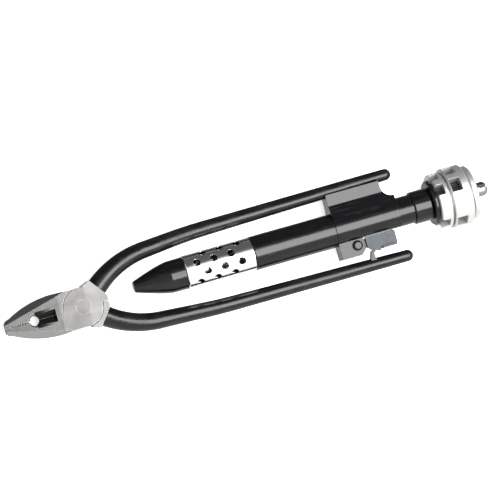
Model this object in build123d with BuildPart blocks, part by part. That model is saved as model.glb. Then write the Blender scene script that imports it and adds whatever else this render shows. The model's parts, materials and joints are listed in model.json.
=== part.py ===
from build123d import *

import os
from math import acos, atan2, cos, radians, sin, sqrt

# Safety-wire twisting pliers, lying flat with the jaws closed and the twister at rest.
# Frame: the origin is where the joint's axis meets the flat underside of the head,
# +X runs from the jaws to the knob, +Y to the fixed handle, +Z up. Millimetres.

os.makedirs("parts", exist_ok=True)

# ---- driving dimensions -------------------------------------------------------------------------

# jaws and lap joint
head_thickness = 10.0
jaw_length = 37.2  # joint axis to the tip
jaw_half_width = 9.8
jaw_widest_at = 12.5  # ahead of the joint axis
tip_half_width = 3.9
tip_thickness = 6.8
tip_corner = 2.6
tip_flat_share = 0.55  # how much of the tip's half width its front edge keeps flat
bevel_rise = 3.4  # from the head's face down to the facet's foot
bevel_slope = 50.5  # degrees from the head's face
bevel_heading = 17.0  # degrees from the jaws' centre line
shoulder_at = 2.2  # the jaw's square shoulder, ahead of the joint axis
shoulder_drop = 0.6
lap_radius = 9.4
rivet_radius = 3.5
jaw_gap = 0.05
lap_gap = 0.10
pocket_gap = 0.20
pivot_fit = 0.05

# wire opening and cutter recess in the jaws
wire_hole_radius = 2.4
wire_hole_from_tip = 14.0
wire_hole_bevel = 0.9
wire_hole_land = 0.7  # how far the bevelled rim sits inside the head's face
recess_front = 15.6  # from the tip
recess_rear = 24.2  # from the tip
recess_front_half_width = 3.0
recess_rear_half_width = 3.5
cutting_edge_depth = 3.4
cutting_edge_half_width = 0.15
serration_pitch = 1.2
serration_depth = 0.35
serration_count = 8

# handles: the grip's outer half widths from head to rear end, over a steel bar
handle_reach = 159.6  # joint axis to the rounded end
handle_root = (3.6, 2.0)  # along the handle, and out from the joint axis
upper_bend = (19.1, 16.65)
upper_settle = (57.0, 20.05)
upper_handle_out = 21.55  # from the joint axis to the bar's centre at the rear
lower_bend = (19.05, 14.65)
lower_settle = (63.0, 17.25)
lower_handle_out = 18.4
bend_radius = 46.0
settle_radius = 260.0
grip_sections = (  # share of the length, half height, half width
    (0.0, 4.8, 5.2),
    (0.2, 4.1, 4.15),
    (0.5, 3.5, 3.5),
    (0.75, 3.2, 3.2),
)
grip_radius_rear = 2.85
grip_wall = 0.9
grip_outer_corner = (5.8, 11.2)
grip_inner_corner = (12.3, 2.8)
shank_thickness = 8.6
crotch_at = 12.0

# twister barrel: a thin rear tube, and a front tube flush with the bracket's saddle
barrel_offset = 2.5  # its axis beyond the joint axis, towards the fixed handle
rear_tube_radius = 6.95
tube_wall = 1.2
nose_start = 25.8
nose_tip_radius = 2.9
nose_tip_round = 1.0
nose_taper = 17.7
nose_radius = 7.6
nose_wall = 1.4
sleeve_start = 50.8
sleeve_length = 33.6
sleeve_inset = 0.1  # the sleeve's surface under the front tube's
sleeve_wall = 1.05
spigot_length = 3.6
vent_radius = 1.8
vent_pitch = 8.45
vent_rows = 10
vents_in_row = 3
vent_inset = 5.7  # sleeve's front end to the first vent
vent_turn = 5.0
barrel_end = 164.9
collar_radius = 7.8
collar_length = 8.7
edge_break = 0.3

# spindle and its drive
spindle_radius = 3.0
spindle_inset = 6.6  # from the sleeve's front end
spindle_plain_front = 5.6
spindle_lead = 40.0
groove_radius = 1.3
groove_centre = 3.1
running_fit = 0.05
journal_radius = 2.5
drive_nut_inset = 15.0  # from the barrel's rear end
drive_nut_length = 10.0
drive_pin_radius = 0.75
drive_pin_reach = 2.25
stop_inset = 0.8
stop_length = 4.0
stop_side_gap = 0.55
stop_pin_radius = 0.8
seat_length = 2.6
seat_side_gap = 0.25
spring_wire = 0.45
spring_mean_radius = 4.4
spring_turns = 14
end_play = 0.05

# knob
home_gap = 0.3
flange_thickness = 2.1
flange_radius = 10.95
drum_radius = 10.3
knob_length = 19.7
front_ring_radius = 13.4
main_ring_radius = 14.6
rear_ring_radius = 13.1
ring_groove = 0.8
ring_groove_floor = 1.3  # above the drum
front_ring_end = 5.5  # from the shell's front
main_ring_end = 16.0
front_window = (-1.0, 3.9)  # open to the front
main_window = (6.9, 12.2)
front_window_arc = 5.4
main_window_arc = 6.8
window_first = 22.0
window_step = 40.0
race_inset = 2.6
race_radius = 4.6
race_length = 9.6
roller_radius = 1.1
roller_count = 6
roller_end_gap = 1.0
thrust_washer_thickness = 0.8
end_nut_radius = 3.5
end_nut_reach = 7.7  # behind the shell
end_nut_slot = 1.2
end_nut_slot_depth = 4.0

# bracket, latch and catch, measured sideways from the barrel's axis
bracket_start = 125.0
bracket_wing_length = 26.8
bracket_length = 32.0
ear_length = 12.0
sheet = 1.2
bracket_half_depth = 4.4
web_seat = 1.95  # how far inside the handle's centre line the web stands
wing_flat = 5.5  # from the web's outer face to the foot of the slope
ear_past_pivot = 4.9
ear_trim = 2.3
web_thickness = 1.7
saddle_blend = 1.2
bracket_rivet_insets = (6.0, 22.0)
bracket_rivet_radius = 1.2
bracket_rivet_head = 2.1
bracket_rivet_head_height = 1.2
latch_pivot_inset = 8.6
latch_pivot_gap = 2.85  # from the rear tube
shank_past_centre = 0.6
latch_rivet_radius = 1.5
latch_head_radius = 2.5
latch_head_height = 1.5
latch_hub_radius = 2.25
latch_plate_end = 19.4  # from the latch's pivot
latch_plate_inner = 2.85
latch_plate_outer = 4.5
latch_plate_thickness = 1.4
latch_lip_height = 2.2
hook_gap = 0.25
barb_radius = 9.6
barb_low = 31.5
barb_high = 26.0
tooth_outer_radius = 12.0
tooth_low = 25.0
tooth_high = 19.0
catch_thickness = 4.4

# ---- derived values and shared shapes -----------------------------------------------------------

mid_height = head_thickness / 2
far = 400.0

saddle_radius = rear_tube_radius + sheet
front_tube_radius = saddle_radius
barrel_bore = rear_tube_radius - tube_wall
sleeve_radius = front_tube_radius - sleeve_inset
spigot_radius = sleeve_radius - sleeve_wall
sleeve_end = sleeve_start + sleeve_length
collar_end = barrel_end + collar_length
flange_start = collar_end + home_gap
knob_start = flange_start + flange_thickness
knob_end = knob_start + knob_length
race_start = knob_start + race_inset
race_end = race_start + race_length
end_nut_end = knob_end + end_nut_reach
drive_nut_start = barrel_end - drive_nut_inset
spindle_front = sleeve_start + spindle_inset
bracket_end = bracket_start + bracket_length
ear_end = bracket_start + ear_length
ear_out = rear_tube_radius + latch_pivot_gap + ear_past_pivot
wing_out = upper_handle_out - web_seat - barrel_offset
wing_foot = wing_out - wing_flat

barrel_origin = (0, barrel_offset, mid_height)
barrel_axis = Axis(barrel_origin, (1, 0, 0))
turning_plane = Plane(origin=barrel_origin, x_dir=(1, 0, 0), z_dir=(0, -1, 0))
hole_at = -jaw_length + wire_hole_from_tip


def cross_plane(x):
    """The plane across the barrel at x, with local X along +Y and local Y along +Z."""
    return Plane(origin=(x, barrel_offset, mid_height), x_dir=(0, 1, 0), z_dir=(1, 0, 0))


def around_barrel(x, angle, reach):
    """A place at a radius from the barrel's axis, turned from the top towards +Y."""
    return Location((x, barrel_offset, mid_height), (-angle, 0, 0)) * Location((0, 0, reach))


def turned(*outline):
    """A piece turned about the barrel's axis from (x, radius) points."""
    with BuildPart() as piece:
        with BuildSketch(turning_plane):
            with BuildLine():
                Polyline(*outline, close=True)
            make_face()
        revolve(axis=barrel_axis)
    return piece


def save(piece, label):
    piece.part.label = label
    export_step(piece.part, f"parts/{label}.step")


# ---- handles: a steel bar under a dipped grip ---------------------------------------------------


def handle_route(side):
    """The bar's centre line as (x, y) corners, for the upper (+1) or lower (-1) handle."""
    reach = handle_reach - grip_radius_rear
    if side > 0:
        corners = (handle_root, upper_bend, upper_settle, (reach, upper_handle_out))
    else:
        corners = (handle_root, lower_bend, lower_settle, (reach, lower_handle_out))
    return [(x, side * out) for x, out in corners]


def handle_bar(side, skin):
    """A tapered bar along the handle, skin millimetres inside the grip's outer surface."""
    rear_section = (1.0, grip_radius_rear, grip_radius_rear)
    with BuildPart() as bar:
        with BuildLine(Plane.XY.offset(mid_height)) as route:
            FilletPolyline(*handle_route(side), radius=(bend_radius, settle_radius))
        centre = route.wires()[0]
        for share, half_height, half_width in (*grip_sections, rear_section):
            across = Plane(origin=centre @ share, x_dir=(0, 0, 1), z_dir=centre % share)
            with BuildSketch(across):
                Ellipse(half_height - skin, half_width - skin)
        sweep(path=centre, multisection=True)
        with Locations(Location(centre @ 1)):
            Sphere(grip_radius_rear - skin)
    return bar


def grip_edge(side):
    """The upright plane where the grip starts, slanting back towards the crotch."""
    outer = Vector(grip_outer_corner[0], side * grip_outer_corner[1], 0)
    inner = Vector(grip_inner_corner[0], side * grip_inner_corner[1], 0)
    along = (inner - outer).normalized()
    return Plane(origin=outer, x_dir=along, z_dir=along.cross(Vector(0, 0, -side)))


jaw_chord = jaw_length - tip_corner - jaw_widest_at
jaw_drop = jaw_half_width - tip_half_width
jaw_arc_radius = (jaw_chord**2 + jaw_drop**2) / (2 * jaw_drop)


def jaw_edge(x, jaw):
    """A point of the jaw's curved outer edge, on the +Y (jaw = 1) or -Y (jaw = -1) side."""
    ahead = -x - jaw_widest_at
    return (x, jaw * (jaw_half_width - jaw_arc_radius + sqrt(jaw_arc_radius**2 - ahead**2)))


def tip_points(jaw):
    """The blunt tip's rounded corner, from the front edge to the curved side."""
    flat = tip_flat_share * tip_half_width
    corner = (-jaw_length + 0.25 * tip_corner, jaw * (flat + 0.6 * (tip_half_width - flat)))
    return (-jaw_length, jaw * flat), corner, jaw_edge(-jaw_length + tip_corner, jaw)


def bevel_plane(jaw, level):
    """A ground facet along the jaw's outer edge, on the top (1) or bottom (-1) face."""
    foot = mid_height + level * (mid_height - bevel_rise)
    start = Vector(-jaw_length + tip_corner, jaw * tip_half_width, foot)
    along = Vector(cos(radians(bevel_heading)), jaw * sin(radians(bevel_heading)), 0)
    inward = Vector(abs(along.Y), -jaw * along.X, 0)
    normal = inward * sin(radians(bevel_slope)) - Vector(0, 0, level) * cos(radians(bevel_slope))
    return Plane(origin=start, x_dir=along, z_dir=normal)


def head_half(side):
    """One forged half: side +1 holds the upper handle and the lower jaw."""
    jaw = -side
    front, corner, side_start = tip_points(jaw)
    widest = (-jaw_widest_at, jaw * jaw_half_width)
    middle = jaw_edge((side_start[0] + widest[0]) / 2, jaw)
    shoulder = (-shoulder_at, jaw * (jaw_half_width - shoulder_drop))
    shank_end = grip_inner_corner[0] + 1.0
    parting = jaw * jaw_gap / 2
    shank_parting = side * jaw_gap / 2
    serrations = [
        (-jaw_length + tip_corner + (index + 0.5) * serration_pitch, parting)
        for index in range(serration_count)
    ]
    with BuildPart() as half:
        with BuildSketch():
            with BuildLine():
                Polyline((0, parting), (-jaw_length, parting), front)
                ThreePointArc(front, corner, side_start)
                ThreePointArc(side_start, middle, widest)
                Polyline(widest, shoulder, (-shoulder_at, jaw * lap_radius / 2), (0, parting))
            make_face()
            Circle(lap_radius)
            with BuildLine():
                Polyline(
                    (0, shank_parting),
                    (crotch_at, shank_parting),
                    (crotch_at + 0.5, side * grip_inner_corner[1] / 2),
                    (grip_inner_corner[0], side * grip_inner_corner[1]),
                    (grip_outer_corner[0], side * grip_outer_corner[1]),
                    (shoulder_at, side * (lap_radius + 0.4)),
                    (0, side * lap_radius / 2),
                    close=True,
                )
            make_face()
            with Locations(*serrations):
                Rectangle(2 * serration_depth, 2 * serration_depth, rotation=45, mode=Mode.SUBTRACT)
        extrude(amount=head_thickness)
        with BuildSketch(Plane.XZ):
            with BuildLine():
                Polyline(
                    (-jaw_length, mid_height - tip_thickness / 2),
                    (-lap_radius - 1.5, 0),
                    (shoulder_at, 0),
                    (shank_end, mid_height - shank_thickness / 2),
                    (shank_end, mid_height + shank_thickness / 2),
                    (shoulder_at, head_thickness),
                    (-lap_radius - 1.5, head_thickness),
                    (-jaw_length, mid_height + tip_thickness / 2),
                    close=True,
                )
            make_face()
        extrude(amount=far, both=True, mode=Mode.INTERSECT)
        for level in (-1, 1):
            split(bisect_by=bevel_plane(jaw, level), keep=Keep.TOP)
    return half


upper_bar = handle_bar(+1, grip_wall)
upper_skin = handle_bar(+1, 0.0)
lower_bar = handle_bar(-1, grip_wall)
lower_skin = handle_bar(-1, 0.0)
upper_head = head_half(+1)
lower_head = head_half(-1)

# ---- catch on the lower handle, laid out about the latch's pivot --------------------------------

latch_pivot = (bracket_start + latch_pivot_inset, barrel_offset - rear_tube_radius - latch_pivot_gap)


def about_latch(angle, reach):
    """A point (x, y) at a reach from the latch's pivot, degrees below the +X direction."""
    return (
        latch_pivot[0] + reach * cos(radians(angle)),
        latch_pivot[1] - reach * sin(radians(angle)),
    )


barb_top = about_latch(barb_high, barb_radius)
barb_bottom = about_latch(barb_low, barb_radius)
barb_middle = about_latch((barb_high + barb_low) / 2, barb_radius)
catch_root = -lower_handle_out + 0.3
grip_top = -lower_handle_out + grip_radius_rear + 0.4
with BuildPart() as catch_post:
    with BuildSketch(Plane.XY.offset(mid_height - catch_thickness / 2)):
        with BuildLine():
            ThreePointArc(barb_top, barb_middle, barb_bottom)
            Polyline(
                barb_bottom,
                (barb_bottom[0] - 0.8, barb_bottom[1] - 0.5),
                (barb_bottom[0] - 0.7, grip_top),
                (barb_bottom[0] + 0.9, catch_root),
                (barb_top[0] - 4.6, catch_root),
                (barb_top[0] - 3.2, grip_top),
                (barb_top[0] - 2.3, barb_top[1] - 1.2),
                (barb_top[0] - 1.9, barb_top[1]),
                barb_top,
            )
        make_face()
    extrude(amount=catch_thickness)
    add(lower_bar.part, mode=Mode.SUBTRACT)
save(catch_post, "catch_post")

# ---- forged halves, rivet and grips -------------------------------------------------------------

bracket_rivet_places = [(bracket_start + inset, mid_height) for inset in bracket_rivet_insets]
web_inner = barrel_offset + wing_out - web_thickness
with BuildPart() as bracket_rivets:
    with BuildSketch(Plane.XZ.offset(-web_inner)):
        with Locations(*bracket_rivet_places):
            Circle(bracket_rivet_radius)
    extrude(amount=-(upper_handle_out + shank_past_centre - web_inner))
    with BuildSketch(Plane.XZ.offset(-web_inner)):
        with Locations(*bracket_rivet_places):
            Circle(bracket_rivet_head)
    extrude(amount=bracket_rivet_head_height)
save(bracket_rivets, "bracket_rivets")


def cutter_recess(level):
    """The tapering pocket over the cutting edge, on the top (1) or bottom (-1) face."""
    floor = level * (mid_height - cutting_edge_depth)
    mouth = level * (mid_height + 0.2)
    with BuildPart() as recess:
        for from_tip, half_width in (
            (recess_front, recess_front_half_width),
            (recess_rear, recess_rear_half_width),
        ):
            station = (from_tip - jaw_length, 0, mid_height)
            with BuildSketch(Plane(origin=station, x_dir=(0, 1, 0), z_dir=(1, 0, 0))):
                with BuildLine():
                    Polyline(
                        (-cutting_edge_half_width, floor),
                        (cutting_edge_half_width, floor),
                        (half_width, mouth),
                        (-half_width, mouth),
                        close=True,
                    )
                make_face()
        loft()
    return recess


recesses = [cutter_recess(level) for level in (-1, 1)]

for side, label, head, bar in (
    (1, "upper_handle", upper_head, upper_bar),
    (-1, "lower_handle", lower_head, lower_bar),
):
    with BuildPart() as forging:
        add(head.part)
        add(bar.part)
        lap_floor = mid_height + side * lap_gap / 2
        with BuildSketch(Plane.XY.offset(lap_floor)):
            Circle(lap_radius + pocket_gap)
        extrude(amount=-side * head_thickness, mode=Mode.SUBTRACT)
        with Locations((hole_at, 0, mid_height)):
            Cylinder(wire_hole_radius, 2 * head_thickness, mode=Mode.SUBTRACT)
        for level, recess in zip((-1, 1), recesses):
            rim = mid_height + level * (mid_height - wire_hole_land)
            with Locations(Location((hole_at, 0, rim), (90 - 90 * level, 0, 0))):
                Cone(
                    wire_hole_radius,
                    wire_hole_radius + 2 * wire_hole_bevel,
                    2 * wire_hole_bevel,
                    mode=Mode.SUBTRACT,
                )
            add(recess.part, mode=Mode.SUBTRACT)
        hole = rivet_radius if side > 0 else rivet_radius + pivot_fit
        with Locations((0, 0, mid_height)):
            Cylinder(hole, 2 * head_thickness, mode=Mode.SUBTRACT)
        if side > 0:
            add(bracket_rivets.part, mode=Mode.SUBTRACT)
    save(forging, label)

with BuildPart() as joint_rivet:
    with BuildSketch():
        Circle(rivet_radius)
    extrude(amount=head_thickness)
save(joint_rivet, "joint_rivet")

for side, label, skin, bar, inserts in (
    (1, "upper_grip", upper_skin, upper_bar, bracket_rivets),
    (-1, "lower_grip", lower_skin, lower_bar, catch_post),
):
    with BuildPart() as grip:
        add(skin.part)
        split(bisect_by=grip_edge(side), keep=Keep.TOP)
        add(bar.part, mode=Mode.SUBTRACT)
        add(inserts.part, mode=Mode.SUBTRACT)
    save(grip, label)

# ---- bracket: two formed plates round the barrel, riveted to the upper handle --------------------

foot_reach = sqrt(wing_foot**2 + bracket_half_depth**2)
slope_angle = atan2(bracket_half_depth, wing_foot) + acos(saddle_radius / foot_reach)


def bracket_section(skin):
    """The bracket's outline across the barrel, skin millimetres inside its outer faces."""
    depth = bracket_half_depth - skin
    radius = saddle_radius - skin
    foot = (radius - depth * sin(slope_angle)) / cos(slope_angle)
    touch = (radius * cos(slope_angle), radius * sin(slope_angle))
    with BuildSketch(cross_plane(bracket_start)) as section:
        Circle(radius)
        with Locations(((wing_out - ear_out) / 2, 0)):
            Rectangle(wing_out + ear_out, 2 * depth)
        with BuildLine():
            Polyline((foot, depth), touch, (touch[0], -touch[1]), (foot, -depth), close=True)
        make_face()
        if skin == 0:
            ear_corners = section.vertices().filter_by(
                lambda v: abs(abs(v.Z - mid_height) - depth) < 0.01
                and -radius < v.Y - barrel_offset < 0
            )
            fillet(ear_corners, radius=saddle_blend)
    return section


with BuildPart() as bracket:
    extrude(bracket_section(0).sketch, amount=bracket_length)
    extrude(bracket_section(sheet).sketch, amount=bracket_length, mode=Mode.SUBTRACT)
    extrude(bracket_section(0).sketch, amount=sheet)
    with BuildSketch(cross_plane(bracket_start)):
        with Locations((wing_out - web_thickness / 2, 0)):
            Rectangle(web_thickness, 2 * bracket_half_depth)
    extrude(amount=bracket_length)
    with BuildSketch(cross_plane(bracket_start)):
        Circle(rear_tube_radius)
    extrude(amount=bracket_length, mode=Mode.SUBTRACT)
    # the wing ends ahead of the saddle, with a round inner corner
    wing_end = bracket_start + bracket_wing_length
    wing_root = barrel_offset + saddle_radius + 0.6
    corner = bracket_length - bracket_wing_length
    with BuildSketch(Plane.XY.offset(-head_thickness)):
        with BuildLine():
            Line((wing_end, far), (wing_end, wing_root + corner))
            RadiusArc((wing_end, wing_root + corner), (bracket_end, wing_root), -corner)
            Polyline((bracket_end, wing_root), (far, wing_root), (far, far), (wing_end, far))
        make_face()
    extrude(amount=3 * head_thickness, mode=Mode.SUBTRACT)
    # the ears stop short, and leave room for the latch lever behind them
    with BuildSketch(Plane.XY.offset(-head_thickness)):
        with BuildLine():
            ear_top = barrel_offset - rear_tube_radius + 0.5
            Polyline(
                (ear_end, ear_top),
                (far, ear_top),
                (far, -far),
                (ear_end - ear_trim, -far),
                (ear_end - ear_trim, barrel_offset - ear_out),
                (ear_end, barrel_offset - ear_out + ear_trim),
                close=True,
            )
        make_face()
    extrude(amount=3 * head_thickness, mode=Mode.SUBTRACT)
    with Locations((latch_pivot[0], latch_pivot[1], mid_height)):
        Cylinder(latch_rivet_radius, 4 * head_thickness, mode=Mode.SUBTRACT)
    add(upper_skin.part, mode=Mode.SUBTRACT)
    add(bracket_rivets.part, mode=Mode.SUBTRACT)

for label, kept in (("bracket_top", Keep.TOP), ("bracket_bottom", Keep.BOTTOM)):
    with BuildPart() as plate:
        add(bracket.part)
        split(bisect_by=Plane.XY.offset(mid_height), keep=kept)
    save(plate, label)

# ---- latch lever and its rivet ------------------------------------------------------------------

clevis_half = bracket_half_depth - sheet
plate_low = mid_height + clevis_half
hub_half = clevis_half - 0.1
lever_start = ear_end + 1.2
inner_edge = latch_pivot[1] + latch_plate_inner
outer_edge = latch_pivot[1] - latch_plate_outer
plate_end = latch_pivot[0] + latch_plate_end
with BuildPart() as latch_lever:
    with BuildSketch(Plane.XY.offset(mid_height - hub_half)):
        with Locations(latch_pivot):
            Circle(latch_hub_radius)
    extrude(amount=2 * hub_half)
    with BuildSketch(Plane.XY.offset(mid_height + hub_half - latch_plate_thickness)):
        with Locations((latch_pivot[0] + 3.4, latch_pivot[1])):
            Rectangle(6.8, 2 * latch_hub_radius)
    extrude(amount=latch_plate_thickness)
    with BuildSketch(Plane.XY.offset(mid_height + hub_half - latch_plate_thickness)):
        with BuildLine():
            Polyline(
                (lever_start, latch_pivot[1] + latch_hub_radius),
                (lever_start + 2, latch_pivot[1] + latch_hub_radius),
                (lever_start + 2, latch_pivot[1] - latch_hub_radius),
                (lever_start, latch_pivot[1] - latch_hub_radius),
                close=True,
            )
        make_face()
    extrude(amount=latch_plate_thickness + 1.2)
    with BuildSketch(Plane.XY.offset(plate_low - 0.2)) as plate_plan:
        with BuildLine():
            Polyline(
                (lever_start, inner_edge),
                (plate_end, inner_edge),
                (plate_end, outer_edge),
                (lever_start + 2.2, outer_edge),
                (lever_start, outer_edge + 2.2),
                close=True,
            )
        make_face()
        far_corners = plate_plan.vertices().filter_by(lambda v: v.X > plate_end - 1)
        fillet(far_corners, radius=1.2)
    extrude(amount=latch_plate_thickness)
    with BuildSketch(Plane.XY.offset(plate_low - 0.2)):
        with Locations((plate_end - 4.6, outer_edge + 0.5)):
            Rectangle(6.4, 1.0)
    extrude(amount=latch_plate_thickness + latch_lip_height)
    with BuildSketch(Plane.XY.offset(mid_height - catch_thickness / 2)):
        with BuildLine():
            near = barb_radius + hook_gap
            tooth_middle = (tooth_low + tooth_high) / 2
            ThreePointArc(
                about_latch(tooth_high, near), about_latch(tooth_middle, near), about_latch(tooth_low, near)
            )
            Line(about_latch(tooth_low, near), about_latch(tooth_low, tooth_outer_radius))
            ThreePointArc(
                about_latch(tooth_low, tooth_outer_radius),
                about_latch(tooth_middle, tooth_outer_radius),
                about_latch(tooth_high, tooth_outer_radius),
            )
            Line(about_latch(tooth_high, tooth_outer_radius), about_latch(tooth_high, near))
        make_face()
    extrude(amount=catch_thickness / 2 + clevis_half)
    with Locations((latch_pivot[0], latch_pivot[1], mid_height)):
        Cylinder(latch_rivet_radius + pivot_fit, 4 * head_thickness, mode=Mode.SUBTRACT)
save(latch_lever, "latch_lever")

with BuildPart() as latch_rivet:
    with BuildSketch(Plane.XY.offset(mid_height - bracket_half_depth)):
        with Locations(latch_pivot):
            Circle(latch_rivet_radius)
    extrude(amount=2 * bracket_half_depth)
    for level in (-1, 1):
        with BuildSketch(Plane.XY.offset(mid_height + level * bracket_half_depth)):
            with Locations(latch_pivot):
                Circle(latch_head_radius)
        extrude(amount=level * latch_head_height)
    rims = latch_rivet.edges().group_by(Axis.Z)
    fillet(rims[-1] + rims[0], radius=latch_head_height - 0.3)
save(latch_rivet, "latch_rivet")

# ---- barrel -------------------------------------------------------------------------------------

spigot_end = sleeve_start + spigot_length
nose_full_at = nose_start + nose_taper
nose_bore = spigot_radius - nose_wall
with BuildPart() as nose_cap:
    with BuildSketch(turning_plane):
        with BuildLine():
            round_start = (nose_start, nose_tip_radius - nose_tip_round)
            round_end = (nose_start + nose_tip_round, nose_tip_radius)
            Line((nose_start, 0), round_start)
            RadiusArc(round_start, round_end, nose_tip_round)
            Bezier(
                round_end,
                (nose_full_at - 0.28 * nose_taper, nose_radius - 0.6),
                (nose_full_at, nose_radius),
            )
            Polyline(
                (nose_full_at, nose_radius),
                (sleeve_start - edge_break, nose_radius + 0.1),
                (sleeve_start, nose_radius + 0.1 - edge_break),
                (sleeve_start, spigot_radius),
                (spigot_end, spigot_radius),
                (spigot_end, nose_bore),
                (nose_full_at - 2.0, nose_bore),
                (nose_full_at - 5.0, 0),
                (nose_start, 0),
            )
        make_face()
    revolve(axis=barrel_axis)
save(nose_cap, "nose_cap")

with BuildPart() as vent_sleeve:
    with BuildSketch(turning_plane):
        with BuildLine():
            Polyline(
                (sleeve_start, spigot_radius),
                (sleeve_start, sleeve_radius - 0.4),
                (sleeve_start + 0.4, sleeve_radius),
                (sleeve_end - 0.4, sleeve_radius),
                (sleeve_end, sleeve_radius - 0.4),
                (sleeve_end, spigot_radius),
                close=True,
            )
        make_face()
    revolve(axis=barrel_axis)
    row_angle = 360 / vent_rows
    for row in range(vent_rows):
        shifted = row % 2
        first = sleeve_start + vent_inset + shifted * vent_pitch / 2
        angle = vent_turn + row_angle * (0.5 - row)
        for index in range(vents_in_row):
            with Locations(around_barrel(first + index * vent_pitch, angle, sleeve_radius)):
                Cylinder(vent_radius, 3.0, mode=Mode.SUBTRACT)
save(vent_sleeve, "vent_sleeve")

front_spigot = sleeve_end - spigot_length
barrel_tube = turned(
    (front_spigot, barrel_bore),
    (front_spigot, spigot_radius),
    (sleeve_end, spigot_radius),
    (sleeve_end, front_tube_radius - edge_break),
    (sleeve_end + edge_break, front_tube_radius),
    (bracket_start - edge_break, front_tube_radius),
    (bracket_start, front_tube_radius - edge_break),
    (bracket_start, rear_tube_radius),
    (barrel_end - edge_break, rear_tube_radius),
    (barrel_end, rear_tube_radius - edge_break),
    (barrel_end, barrel_bore),
)
save(barrel_tube, "barrel_tube")

spindle_bore = spindle_radius + running_fit
barrel_collar = turned(
    (barrel_end - spigot_length, spindle_bore),
    (barrel_end - spigot_length, barrel_bore),
    (barrel_end, barrel_bore),
    (barrel_end, collar_radius - 0.4),
    (barrel_end + 0.4, collar_radius),
    (collar_end - 0.6, collar_radius),
    (collar_end, collar_radius - 0.6),
    (collar_end, spindle_bore),
)
save(barrel_collar, "barrel_collar")

# ---- drive nut with two pins that run in the spindle's grooves ----------------------------------

drive_pin_at = drive_nut_start + drive_nut_length / 2
pin_height = barrel_bore - drive_pin_reach
with BuildPart() as drive_pins:
    for angle in (0, 180):
        with Locations(around_barrel(drive_pin_at, angle, drive_pin_reach + pin_height / 2)):
            Cylinder(drive_pin_radius, pin_height)
    add(barrel_tube.part, mode=Mode.SUBTRACT)
save(drive_pins, "drive_pins")

with BuildPart() as drive_nut:
    with BuildSketch(cross_plane(drive_nut_start)):
        Circle(barrel_bore)
        Circle(spindle_bore, mode=Mode.SUBTRACT)
    extrude(amount=drive_nut_length)
    add(drive_pins.part, mode=Mode.SUBTRACT)
save(drive_nut, "drive_nut")

# ---- spindle ------------------------------------------------------------------------------------

grooved_start = spindle_front + spindle_plain_front
grooved_length = race_start - grooved_start
turn_per_mm = 360 / spindle_lead
first_turn = (grooved_start - drive_pin_at) * turn_per_mm
stop_middle = spindle_front + stop_inset + stop_length / 2
stop_radius = barrel_bore - stop_side_gap

groove_turns = [radians(90 + first_turn + half_turn) for half_turn in (0, 180)]
groove_places = [(groove_centre * cos(turn), groove_centre * sin(turn)) for turn in groove_turns]
with BuildSketch(cross_plane(grooved_start)) as spindle_section:
    Circle(spindle_radius)
    with Locations(*groove_places):
        Circle(groove_radius, mode=Mode.SUBTRACT)

twisted_bar = Solid.extrude_linear_with_rotation(
    spindle_section.sketch.faces()[0],
    center=(grooved_start, barrel_offset, mid_height),
    normal=(grooved_length, 0, 0),
    angle=grooved_length * turn_per_mm,
)

with BuildPart() as stop_pin:
    with Locations((stop_middle, barrel_offset, mid_height)):
        Cylinder(stop_pin_radius, 2 * stop_radius - 0.6)
save(stop_pin, "stop_pin")

with BuildPart() as spiral_spindle:
    add(twisted_bar)
    with BuildSketch(cross_plane(spindle_front)):
        Circle(spindle_radius)
    extrude(amount=spindle_plain_front)
    with BuildSketch(cross_plane(race_start)):
        Circle(journal_radius)
    extrude(amount=end_nut_end - end_nut_slot_depth - 1.0 - race_start)
    add(stop_pin.part, mode=Mode.SUBTRACT)
save(spiral_spindle, "spiral_spindle")

with BuildPart() as spindle_stop:
    with BuildSketch(cross_plane(stop_middle - stop_length / 2)):
        Circle(stop_radius)
        Circle(spindle_radius, mode=Mode.SUBTRACT)
    extrude(amount=stop_length)
    chamfer(spindle_stop.edges().filter_by(GeomType.CIRCLE).sort_by(SortBy.RADIUS)[-2:], length=0.4)
    add(stop_pin.part, mode=Mode.SUBTRACT)
save(spindle_stop, "spindle_stop")

seat_start = stop_middle + stop_length / 2 + 2 * end_play
with BuildPart() as spring_seat:
    with BuildSketch(cross_plane(seat_start)):
        Circle(barrel_bore - seat_side_gap)
        Circle(spindle_bore + running_fit, mode=Mode.SUBTRACT)
    extrude(amount=seat_length)
save(spring_seat, "spring_seat")

spring_start = seat_start + seat_length + spring_wire + end_play
spring_length = drive_nut_start - spring_wire - end_play - spring_start
with BuildPart() as return_spring:
    with BuildLine():
        coil = Helix(
            pitch=spring_length / spring_turns,
            height=spring_length,
            radius=spring_mean_radius,
            center=(spring_start, barrel_offset, mid_height),
            direction=(1, 0, 0),
        )
    with BuildSketch(Plane(origin=coil @ 0, z_dir=coil % 0)):
        Circle(spring_wire)
    sweep(path=coil, is_frenet=True)
save(return_spring, "return_spring")

# ---- knob with its one-way roller clutch --------------------------------------------------------

drum_end = race_end + 2.0
knob_flange = turned(
    (flange_start, spindle_bore),
    (flange_start, flange_radius - 0.7),
    (flange_start + 0.7, flange_radius),
    (knob_start - 0.3, flange_radius),
    (knob_start, flange_radius - 0.3),
    (knob_start, spindle_bore),
)
save(knob_flange, "knob_flange")

roller_orbit = race_radius + roller_radius + running_fit
washer_start = race_start - thrust_washer_thickness - end_play
drum_bore = race_radius + 0.3
roller_length = race_length - 2 * roller_end_gap
roller_middle = race_start + race_length / 2
with BuildPart() as clutch_rollers:
    for index in range(roller_count):
        with Locations(around_barrel(roller_middle, index * 360 / roller_count, roller_orbit)):
            Cylinder(roller_radius, roller_length, rotation=(0, 90, 0))
save(clutch_rollers, "clutch_rollers")

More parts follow.
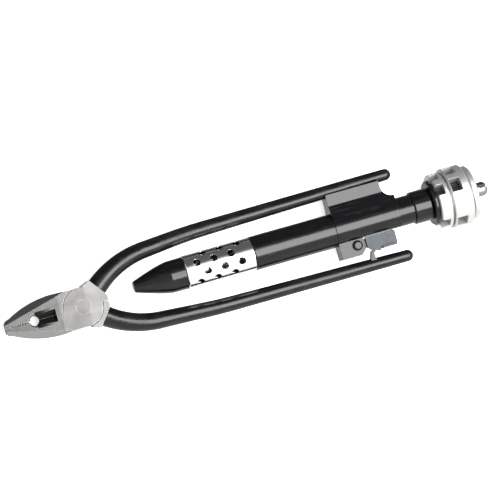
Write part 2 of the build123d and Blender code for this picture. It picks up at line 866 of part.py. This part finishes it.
with BuildPart() as clutch_drum:
    with BuildSketch(turning_plane):
        with BuildLine():
            Polyline(
                (knob_start, spindle_bore),
                (knob_start, drum_radius),
                (drum_end, drum_radius),
                (drum_end, drum_bore),
                (washer_start, drum_bore),
                (washer_start, spindle_bore),
                close=True,
            )
        make_face()
    revolve(axis=barrel_axis)
    for index in range(roller_count):
        with Locations(around_barrel(roller_middle, index * 360 / roller_count, roller_orbit)):
            Cylinder(
                roller_radius + running_fit,
                roller_length + 2 * end_play,
                rotation=(0, 90, 0),
                mode=Mode.SUBTRACT,
            )
save(clutch_drum, "clutch_drum")

with BuildPart() as thrust_washer:
    with BuildSketch(cross_plane(washer_start)):
        Circle(drum_bore)
        Circle(spindle_bore, mode=Mode.SUBTRACT)
    extrude(amount=thrust_washer_thickness)
save(thrust_washer, "thrust_washer")

with BuildPart() as clutch_race:
    with BuildSketch(cross_plane(race_start)):
        Circle(race_radius)
        Circle(journal_radius, mode=Mode.SUBTRACT)
    extrude(amount=race_length)
save(clutch_race, "clutch_race")

front_end = knob_start + front_ring_end
main_end = knob_start + main_ring_end
groove_bottom = drum_radius + ring_groove_floor
rear_bore = end_nut_radius + 0.6
with BuildPart() as knob_shell:
    with BuildSketch(turning_plane):
        with BuildLine():
            Polyline(
                (knob_start, drum_radius),
                (knob_start, front_ring_radius - 0.6),
                (knob_start + 0.6, front_ring_radius),
                (front_end - 0.3, front_ring_radius),
                (front_end, front_ring_radius - 0.3),
                (front_end, groove_bottom),
                (front_end + ring_groove, groove_bottom),
                (front_end + ring_groove, main_ring_radius - 0.5),
                (front_end + ring_groove + 0.5, main_ring_radius),
                (main_end - 0.5, main_ring_radius),
                (main_end, main_ring_radius - 0.5),
                (main_end, groove_bottom),
                (main_end + ring_groove, groove_bottom),
                (main_end + ring_groove, rear_ring_radius - 0.3),
                (main_end + ring_groove + 0.3, rear_ring_radius),
                (knob_end - 0.8, rear_ring_radius),
                (knob_end, rear_ring_radius - 0.8),
                (knob_end, rear_bore + 2.4),
                (knob_end - 0.8, rear_bore + 1.6),
                (knob_end - 0.8, rear_bore),
                (drum_end, rear_bore),
                (drum_end, drum_radius),
                close=True,
            )
        make_face()
    revolve(axis=barrel_axis)
    for third in range(3):
        for pair in range(2):
            angle = third * 120 + window_first + pair * window_step
            for span, arc in ((front_window, front_window_arc), (main_window, main_window_arc)):
                middle_x = knob_start + (span[0] + span[1]) / 2
                with Locations(around_barrel(middle_x, angle, main_ring_radius)):
                    Box(span[1] - span[0], arc, 10, mode=Mode.SUBTRACT)
save(knob_shell, "knob_shell")

nut_skirt_end = knob_end + 0.6
with BuildPart() as end_nut:
    with BuildSketch(turning_plane):
        with BuildLine():
            Polyline(
                (race_end, 0),
                (race_end, end_nut_radius - 0.3),
                (nut_skirt_end, end_nut_radius - 0.3),
                (nut_skirt_end, end_nut_radius),
                (end_nut_end - 2.2, end_nut_radius),
            )
            RadiusArc((end_nut_end - 2.2, end_nut_radius), (end_nut_end, end_nut_radius - 2.2), 2.2)
            Polyline((end_nut_end, end_nut_radius - 2.2), (end_nut_end, 0), (race_end, 0))
        make_face()
    revolve(axis=barrel_axis)
    with Locations(around_barrel(end_nut_end, 18, 0)):
        Box(2 * end_nut_slot_depth, end_nut_slot, 4 * end_nut_radius, mode=Mode.SUBTRACT)
    add(spiral_spindle.part, mode=Mode.SUBTRACT)
save(end_nut, "end_nut")
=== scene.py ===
import json
from math import atan2, cos, pi, radians, sin

import bmesh
import bpy
from mathutils import Matrix, Vector


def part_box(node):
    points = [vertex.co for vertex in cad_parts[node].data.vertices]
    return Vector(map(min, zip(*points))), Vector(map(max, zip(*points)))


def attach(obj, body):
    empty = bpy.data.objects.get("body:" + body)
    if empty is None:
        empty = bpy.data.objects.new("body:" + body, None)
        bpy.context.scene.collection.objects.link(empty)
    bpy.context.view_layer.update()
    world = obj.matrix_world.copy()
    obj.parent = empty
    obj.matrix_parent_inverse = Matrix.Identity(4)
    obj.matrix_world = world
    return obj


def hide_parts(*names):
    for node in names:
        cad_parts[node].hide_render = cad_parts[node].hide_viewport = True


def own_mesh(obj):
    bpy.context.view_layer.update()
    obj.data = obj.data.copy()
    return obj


# Safety-wire twisting pliers on a white bench. Metres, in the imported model's own frame:
# +X runs from the jaws to the knob, +Y to the fixed handle, +Z up.

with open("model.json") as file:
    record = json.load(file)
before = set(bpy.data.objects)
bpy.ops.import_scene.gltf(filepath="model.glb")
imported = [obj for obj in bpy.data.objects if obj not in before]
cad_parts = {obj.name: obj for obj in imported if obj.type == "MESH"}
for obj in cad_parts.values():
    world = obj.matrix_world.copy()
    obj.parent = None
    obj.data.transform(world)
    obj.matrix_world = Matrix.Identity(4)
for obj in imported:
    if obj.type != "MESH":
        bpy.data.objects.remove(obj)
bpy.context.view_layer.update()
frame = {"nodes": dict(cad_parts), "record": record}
nodes = frame["nodes"]
scene = bpy.context.scene
head_low, head_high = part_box("upper_handle")
tube_low, tube_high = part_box("vent_sleeve")
axis_y = (tube_low.y + tube_high.y) / 2
axis_z = (tube_low.z + tube_high.z) / 2
sleeve_reach = (tube_high.z - tube_low.z) / 2
head_middle = (head_low.z + head_high.z) / 2
recess_from = head_low.x + 0.0148
recess_to = head_low.x + 0.0245
recess_reach = 0.0036  # to either side of the jaws' centre line

# ---- shader maths -------------------------------------------------------------------------------


class Amount:
    """A number that varies over a surface. Sums on it add Math nodes."""

    def __init__(self, nodes, socket):
        self.nodes = nodes
        self.socket = socket

    def sum(self, operation, *values):
        made = self.nodes.node("ShaderNodeMath", {"operation": operation}, dict(enumerate(values)))
        return Amount(self.nodes, made.outputs[0])

    def __add__(self, other):
        return self.sum("ADD", self, other)

    def __radd__(self, other):
        return self.sum("ADD", other, self)

    def __sub__(self, other):
        return self.sum("SUBTRACT", self, other)

    def __rsub__(self, other):
        return self.sum("SUBTRACT", other, self)

    def __mul__(self, other):
        return self.sum("MULTIPLY", self, other)

    def __rmul__(self, other):
        return self.sum("MULTIPLY", other, self)

    def __truediv__(self, other):
        return self.sum("DIVIDE", self, other)

    def power(self, exponent):
        return self.sum("POWER", self, exponent)

    def size(self):
        return self.sum("ABSOLUTE", self)

    def ramp(self, low, high):
        """0 below low, 1 above high, and a smooth rise between."""
        settings = {"interpolation_type": "SMOOTHSTEP"}
        inputs = {"Value": self, "From Min": low, "From Max": high}
        made = self.nodes.node("ShaderNodeMapRange", settings, inputs)
        return Amount(self.nodes, made.outputs["Result"])


class Nodes:
    """A node tree, and the one way that nodes are added to it."""

    def __init__(self, tree):
        self.tree = tree

    def node(self, kind, settings=None, inputs=None):
        """Adds a node: its settings first, then the values or links of its sockets."""
        made = self.tree.nodes.new(kind)
        for key, value in (settings or {}).items():
            setattr(made, key, value)
        for key, value in (inputs or {}).items():
            self.feed(made.inputs[key], value)
        return made

    def feed(self, socket, value):
        """Sets a socket to a value, or links it to what varies."""
        if isinstance(value, Amount):
            value = value.socket
        if isinstance(value, bpy.types.NodeSocket):
            self.tree.links.new(value, socket)
        else:
            socket.default_value = value


class Finish(Nodes):
    """A material with one Principled shader, built up from noise, wear masks and bumps."""

    def __init__(self, name, **fixed):
        self.material = bpy.data.materials.new(name)
        self.material.use_nodes = True
        super().__init__(self.material.node_tree)
        self.shader = self.tree.nodes["Principled BSDF"]
        self.place = self.node("ShaderNodeTexCoord").outputs["Object"]
        self.relief = None
        for key, value in fixed.items():
            label = key.replace("_", " ").title().replace("Ior", "IOR")
            self.set(label, value)

    def set(self, key, value):
        self.feed(self.shader.inputs[key], value)

    def spread(self, scale):
        """Where a pattern is read and its scale, from one number or one for each axis."""
        if isinstance(scale, (int, float)):
            return {"Vector": self.place, "Scale": scale}
        stretched = self.node("ShaderNodeMapping", inputs={"Vector": self.place, "Scale": scale})
        return {"Vector": stretched.outputs["Vector"], "Scale": 1.0}

    def noise(self, scale, detail=3.0, rough=0.55, warp=0.0):
        """Smooth noise from 0 to 1; scale is one number, or one for each axis."""
        inputs = {**self.spread(scale), "Detail": detail, "Roughness": rough, "Distortion": warp}
        return Amount(self, self.node("ShaderNodeTexNoise", inputs=inputs).outputs[0])

    def cells(self, scale):
        """Distance to the nearest of many scattered points, for pits and specks."""
        made = self.node("ShaderNodeTexVoronoi", inputs=self.spread(scale))
        return Amount(self, made.outputs["Distance"])

    def along(self, axis):
        """Distance along X, Y or Z from the model's origin, in metres."""
        made = self.node("ShaderNodeSeparateXYZ", inputs={"Vector": self.place})
        return Amount(self, made.outputs[axis])

    def blend(self, share, first, second):
        """A colour from first to second as share goes from 0 to 1."""
        settings = {"data_type": "RGBA", "clamp_factor": True}
        return self.node("ShaderNodeMix", settings, {0: share, 6: first, 7: second}).outputs[2]

    def edges(self, width):
        """1 along sharp edges, falling to 0 about width metres away."""
        rounded = self.node("ShaderNodeBevel", {"samples": 4}, {"Radius": width}).outputs[0]
        flat = self.node("ShaderNodeNewGeometry").outputs["Normal"]
        facing = self.node("ShaderNodeVectorMath", {"operation": "DOT_PRODUCT"}, {0: rounded, 1: flat})
        return (1.0 - Amount(self, facing.outputs["Value"])).ramp(0.01, 0.16)

    def facets(self):
        """1 on faces that slope about half way between level and upright."""
        flat = self.node("ShaderNodeNewGeometry").outputs["Normal"]
        level = Amount(self, self.node("ShaderNodeSeparateXYZ", inputs={"Vector": flat}).outputs["Z"]).size()
        return level.ramp(0.45, 0.58) * (1.0 - level.ramp(0.72, 0.86))

    def bump(self, height, strength, depth):
        """Adds relief of the given depth in metres on top of what is there."""
        inputs = {"Height": height, "Strength": strength, "Distance": depth}
        if self.relief is not None:
            inputs["Normal"] = self.relief
        self.relief = self.node("ShaderNodeBump", inputs=inputs).outputs["Normal"]
        self.set("Normal", self.relief)

    def soften(self, width):
        """Rounds the look of sharp edges before any bump goes on."""
        self.relief = self.node("ShaderNodeBevel", {"samples": 4}, {"Radius": width}).outputs[0]
        self.set("Normal", self.relief)


# ---- finishes -----------------------------------------------------------------------------------


def forged_steel():
    """Shot-blasted forging under a dark phosphate, with ground facets and edges rubbed bright."""
    steel = Finish("forged_steel", metallic=1.0)
    steel.soften(0.0003)
    grain = steel.noise(2600.0, detail=4.0, rough=0.62)
    cloud = steel.noise(120.0, detail=3.0, warp=0.6)
    rubbed = steel.edges(0.0005) * steel.noise(700.0).ramp(0.30, 0.55)
    specks = 1.0 - steel.cells(1500.0).ramp(0.05, 0.22)
    body = steel.blend(cloud.ramp(0.3, 0.7), (0.100, 0.099, 0.097, 1), (0.140, 0.138, 0.134, 1))
    body = steel.blend(steel.facets() * 0.9, body, (0.30, 0.298, 0.29, 1))
    body = steel.blend(specks * 0.35, body, (0.055, 0.054, 0.052, 1))
    # painted shade: the mask scale colours the cutter recess near-black, standing in for its deep shadow
    depth = head_high.z - head_middle - (steel.along("Z") - head_middle).size()
    beside = 1.0 - steel.along("Y").size().ramp(recess_reach, recess_reach + 0.0005)
    behind = steel.along("X").ramp(recess_from - 0.0006, recess_from)
    ahead = 1.0 - steel.along("X").ramp(recess_to, recess_to + 0.0006)
    scale = depth.ramp(0.0001, 0.0006) * beside * behind * ahead
    body = steel.blend(scale * 0.92, body, (0.006, 0.006, 0.006, 1))
    # the painted recess shade is kept out of the bright rubbed edges
    steel.set("Base Color", steel.blend(rubbed * 0.7 * (1.0 - scale), body, (0.56, 0.55, 0.53, 1)))
    steel.set("Roughness", 0.38 + 0.12 * grain + 0.08 * cloud - 0.14 * rubbed + 0.2 * scale)
    steel.bump(grain, 0.30, 0.00006)
    steel.bump(specks, -0.20, 0.00004)
    return steel


def dipped_grip():
    """Thick black vinyl dip: glossy, faintly wavy, with handling smudges."""
    vinyl = Finish("dipped_grip", ior=1.5, specular_ior_level=0.3)
    wave = vinyl.noise(140.0, detail=2.0)
    skin = vinyl.noise(2200.0, detail=3.0)
    smudge = vinyl.noise((60.0, 160.0, 160.0), detail=4.0, warp=1.0).ramp(0.42, 0.70)
    pits = 1.0 - vinyl.cells(420.0).ramp(0.02, 0.09)
    tint = vinyl.blend(smudge, (0.0040, 0.0040, 0.0044, 1), (0.0090, 0.0088, 0.0086, 1))
    vinyl.set("Base Color", tint)
    vinyl.set("Roughness", 0.17 + 0.13 * smudge + 0.05 * skin)
    vinyl.bump(wave, 0.20, 0.00025)
    vinyl.bump(skin, 0.05, 0.00004)
    vinyl.bump(pits, -0.25, 0.00005)
    return vinyl


def black_enamel():
    """Baked black enamel over steel: orange peel, fine rubs and a few bright nicks on the edges."""
    paint = Finish("black_enamel", ior=1.5, specular_ior_level=0.3)
    paint.soften(0.0002)
    peel = paint.noise(900.0, detail=2.0)
    rub = paint.noise((90.0, 900.0, 900.0), detail=4.0).ramp(0.50, 0.72)
    nicks = paint.edges(0.00035) * paint.noise(1100.0, detail=2.0).ramp(0.62, 0.68)
    dark = paint.blend(rub, (0.0036, 0.0036, 0.0042, 1), (0.0085, 0.0085, 0.0090, 1))
    paint.set("Base Color", paint.blend(nicks, dark, (0.42, 0.41, 0.39, 1)))
    paint.set("Metallic", nicks)
    paint.set("Roughness", 0.15 + 0.10 * rub + 0.04 * peel + 0.15 * nicks)
    paint.bump(peel, 0.08, 0.00006)
    paint.bump(nicks, -0.5, 0.00003)
    return paint


def turned_metal(name, pale, deep, gloss, lines, worn, metallic=1.0, painted_shade_within=None):
    """Metal with fine turning lines, near-black where it lies nearer the axis than the given reach: painted
    shade on the walls of holes cut through it.
    """
    metal = Finish(name, metallic=metallic)
    metal.soften(0.0002)
    rings = metal.noise((9000.0, 60.0, 60.0), detail=3.0, rough=0.7)
    cloud = metal.noise(160.0, detail=3.0, warp=0.8)
    hair = metal.noise((500.0, 5000.0, 5000.0), detail=2.0).ramp(0.64, 0.76)
    rubbed = metal.edges(0.0004)
    body = metal.blend(cloud * 0.7 + rings * 0.3, deep, pale)
    # painted shade: surfaces deeper than the given reach, such as hole walls, are coloured near-black for
    # the shadow inside the holes
    if painted_shade_within is not None:
        out_y = metal.along("Y") - axis_y
        out_z = metal.along("Z") - axis_z
        reach = (out_y * out_y + out_z * out_z).power(0.5)
        outside = reach.ramp(painted_shade_within, painted_shade_within + 0.0002)
        body = metal.blend(outside, (0.004, 0.004, 0.004, 1), body)
    metal.set("Base Color", body)
    metal.set("Roughness", gloss + worn * cloud + 0.10 * rings + 0.12 * hair - 0.08 * rubbed)
    metal.bump(rings, lines, 0.00003)
    metal.bump(hair, -0.10, 0.00002)
    return metal


def latch_plate():
    """Dark zinc plate on pressed steel, cool grey with a faint cloudy bloom."""
    zinc = Finish("latch_plate", metallic=1.0)
    zinc.soften(0.00025)
    bloom = zinc.noise(260.0, detail=4.0, warp=1.2)
    grain = zinc.noise((3200.0, 700.0, 700.0), detail=3.0, rough=0.65)
    rubbed = zinc.edges(0.0004)
    body = zinc.blend(bloom.ramp(0.25, 0.75), (0.030, 0.0325, 0.035, 1), (0.044, 0.0465, 0.049, 1))
    zinc.set("Base Color", zinc.blend(rubbed * 0.6, body, (0.22, 0.225, 0.23, 1)))
    zinc.set("Roughness", 0.36 + 0.14 * bloom + 0.08 * grain)
    zinc.bump(grain, 0.12, 0.00004)
    return zinc


def spring_steel():
    """Drawn spring wire, blued by its heat treatment."""
    wire = Finish("spring_steel", metallic=1.0)
    blue = wire.noise(90.0, detail=2.0)
    drawn = wire.noise((4000.0, 4000.0, 4000.0), detail=2.0)
    wire.set("Base Color", wire.blend(blue, (0.19, 0.20, 0.23, 1), (0.34, 0.33, 0.33, 1)))
    wire.set("Roughness", 0.26 + 0.16 * drawn)
    wire.bump(drawn, 0.12, 0.00003)
    return wire


def bearing_bronze():
    """Cast bearing bronze, turned and lightly oiled."""
    bronze = Finish("bearing_bronze", metallic=1.0)
    bronze.soften(0.0002)
    cast = bronze.noise(800.0, detail=4.0)
    rings = bronze.noise((7000.0, 80.0, 80.0), detail=2.0)
    bronze.set("Base Color", bronze.blend(cast, (0.36, 0.22, 0.10, 1), (0.58, 0.39, 0.19, 1)))
    bronze.set("Roughness", 0.28 + 0.18 * cast + 0.08 * rings)
    bronze.bump(rings, 0.15, 0.00003)
    return bronze


finishes = {
    "forged_steel": forged_steel(),
    "dipped_grip": dipped_grip(),
    "black_enamel": black_enamel(),
    "polished_sleeve": turned_metal(
        "polished_sleeve",
        pale=(0.90, 0.90, 0.89, 1),
        deep=(0.80, 0.80, 0.80, 1),
        gloss=0.07,
        lines=0.06,
        worn=0.08,
        # painted shade in the vent holes, from 0.4 mm below the sleeve's outer face
        painted_shade_within=sleeve_reach - 0.0004,
    ),
    "satin_knob": turned_metal(
        "satin_knob",
        pale=(0.60, 0.60, 0.585, 1),
        deep=(0.49, 0.50, 0.48, 1),
        gloss=0.34,
        lines=0.16,
        worn=0.10,
        metallic=0.85,
    ),
    "black_drum": turned_metal(
        "black_drum",
        pale=(0.045, 0.045, 0.048, 1),
        deep=(0.022, 0.022, 0.024, 1),
        gloss=0.30,
        lines=0.20,
        worn=0.10,
    ),
    "latch_plate": latch_plate(),
    "machined_steel": turned_metal(
        "machined_steel",
        pale=(0.30, 0.297, 0.29, 1),
        deep=(0.20, 0.198, 0.192, 1),
        gloss=0.26,
        lines=0.20,
        worn=0.12,
    ),
    "spring_steel": spring_steel(),
    "bearing_bronze": bearing_bronze(),
}

for part in frame["record"]["subparts"]:
    mesh = nodes[part["node"]].data
    mesh.materials.clear()
    # the end nut is plain machined steel, unlike the rest of the knob
    slot = "machined_steel" if part["node"] == "end_nut" else part["material_slot"]
    mesh.materials.append(finishes[slot].material)

# ---- return spring: round wire wound at an even pitch along the barrel --------------------------

spring_wire_radius = 0.00045
spring_turns = 14
ring_points = 10
steps_per_turn = 36


def spring_coil():
    """A ring of wire wound round the barrel's axis, closed at both ends."""
    low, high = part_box("return_spring")
    winding_radius = (high.z - low.z) / 2 - spring_wire_radius
    winding_length = high.x - low.x - 2 * spring_wire_radius
    steps = spring_turns * steps_per_turn
    centre = Vector((low.x + spring_wire_radius, axis_y, axis_z))
    shape = bmesh.new()
    bmesh.ops.create_circle(shape, segments=ring_points, radius=spring_wire_radius)
    place = Matrix.Translation(centre + Vector((0.0, winding_radius, 0.0)))
    bmesh.ops.transform(shape, matrix=place, verts=shape.verts)
    first_ring = list(shape.edges)
    wound = bmesh.ops.spin(
        shape,
        geom=first_ring,
        cent=centre,
        axis=(1, 0, 0),
        dvec=(winding_length / steps, 0, 0),
        angle=2 * pi * spring_turns,
        steps=steps,
        use_merge=False,
    )
    last_ring = [piece for piece in wound["geom_last"] if isinstance(piece, bmesh.types.BMEdge)]
    for face in shape.faces:
        face.smooth = True
    bmesh.ops.edgeloop_fill(shape, edges=first_ring)
    bmesh.ops.edgeloop_fill(shape, edges=last_ring)
    bmesh.ops.recalc_face_normals(shape, faces=shape.faces)
    mesh = bpy.data.meshes.new("spring_coil")
    shape.to_mesh(mesh)
    shape.free()
    mesh.materials.append(finishes["spring_steel"].material)
    coil = bpy.data.objects.new("spring_coil", mesh)
    scene.collection.objects.link(coil)
    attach(coil, "fixed_half")
    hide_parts("return_spring")
    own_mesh(coil)
    return coil


spring_coil()

# ---- bench, light and camera --------------------------------------------------------------------

bench_radius = 4.0
bench_touches_knob = 0.006  # behind the knob's front face
knob_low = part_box("knob_shell")[0]
rest_front = Vector((0.0, 0.0, head_low.z))
rest_rear = Vector((knob_low.x + bench_touches_knob, 0.0, knob_low.z))
bench_tilt = atan2(rest_rear.z - rest_front.z, rest_rear.x - rest_front.x)


def white_bench():
    """A plain disc that the head and the knob rest on."""
    mesh = bpy.data.meshes.new("bench")
    shape = bmesh.new()
    bmesh.ops.create_circle(shape, cap_ends=True, segments=96, radius=bench_radius)
    bmesh.ops.rotate(shape, verts=shape.verts, matrix=Matrix.Rotation(-bench_tilt, 3, "Y"))
    bmesh.ops.translate(shape, verts=shape.verts, vec=rest_front)
    shape.to_mesh(mesh)
    shape.free()
    bench = bpy.data.objects.new("bench", mesh)
    scene.collection.objects.link(bench)
    bench.visible_glossy = False
    paper = Finish("bench_paper", roughness=0.9, emission_strength=0.7)
    paper.set("Emission Color", (1, 1, 1, 1))
    fibre = paper.noise(300.0, detail=4.0)
    paper.set("Base Color", paper.blend(fibre, (0.80, 0.80, 0.80, 1), (0.84, 0.84, 0.84, 1)))
    mesh.materials.append(paper.material)


white_bench()

aim = Vector((0.084, 0.0045, head_middle))
to_camera = Vector((-0.2, 0.0, 0.98)).normalized()
view_width = 0.2352
camera_roll = radians(15.8)


def studio_camera():
    """A long lens over the middle, leaning towards the jaws and rolled in its own plane."""
    data = bpy.data.cameras.new("camera")
    data.lens = 200.0
    data.sensor_width = 36.0
    data.clip_start = 0.01
    data.clip_end = 50.0
    camera = bpy.data.objects.new("camera", data)
    scene.collection.objects.link(camera)
    scene.camera = camera
    along = Vector((to_camera.z, 0.0, -to_camera.x))
    across = Vector((0.0, 1.0, 0.0))
    picture_right = along * cos(camera_roll) - across * sin(camera_roll)
    picture_up = along * sin(camera_roll) + across * cos(camera_roll)
    turn = Matrix((picture_right, picture_up, to_camera)).transposed().to_4x4()
    distance = view_width * data.lens / data.sensor_width
    camera.matrix_world = Matrix.Translation(aim + to_camera * distance) @ turn


studio_camera()


def soft_box(centre, size, radiance):
    """A flat rectangular light of even brightness that faces straight down."""
    data = bpy.data.lights.new("overhead_box", "AREA")
    data.shape = "RECTANGLE"
    data.size, data.size_y = size
    data.energy = radiance * pi * size[0] * size[1]
    box = bpy.data.objects.new("overhead_box", data)
    box.matrix_world = Matrix.Translation(centre)
    box.visible_camera = False
    scene.collection.objects.link(box)


soft_box(centre=Vector((0.35, -0.06, 0.60)), size=(0.52, 0.48), radiance=13.0)


def studio_sky():
    """A room that is bright on the -Y side and dark on the +Y side, and white to the camera."""
    world = bpy.data.worlds.new("studio")
    scene.world = world
    world.use_nodes = True
    for old in list(world.node_tree.nodes):
        world.node_tree.nodes.remove(old)
    sky = Nodes(world.node_tree)
    toward = sky.node("ShaderNodeTexCoord").outputs["Generated"]
    side = sky.node("ShaderNodeSeparateXYZ", inputs={0: toward}).outputs["Y"]

    def fall(start, end, high, low):
        """Brightness that goes smoothly from high at start to low at end, across the room."""
        inputs = {"Value": side, "From Min": start, "From Max": end, "To Min": high, "To Max": low}
        made = sky.node("ShaderNodeMapRange", {"interpolation_type": "SMOOTHSTEP"}, inputs)
        return Amount(sky, made.outputs["Result"])

    room = fall(0.36, 0.62, 1.05, 0.14) + fall(-0.6, -0.05, 0.7, 0.0)
    seen = sky.node("ShaderNodeLightPath").outputs["Is Camera Ray"]
    brightness = sky.node("ShaderNodeMix", inputs={0: seen, 2: room, 3: 1.0}).outputs[0]
    glow = sky.node("ShaderNodeBackground", inputs={"Strength": brightness}).outputs[0]
    sky.node("ShaderNodeOutputWorld", inputs={"Surface": glow})


studio_sky()

scene.view_settings.view_transform = "Standard"
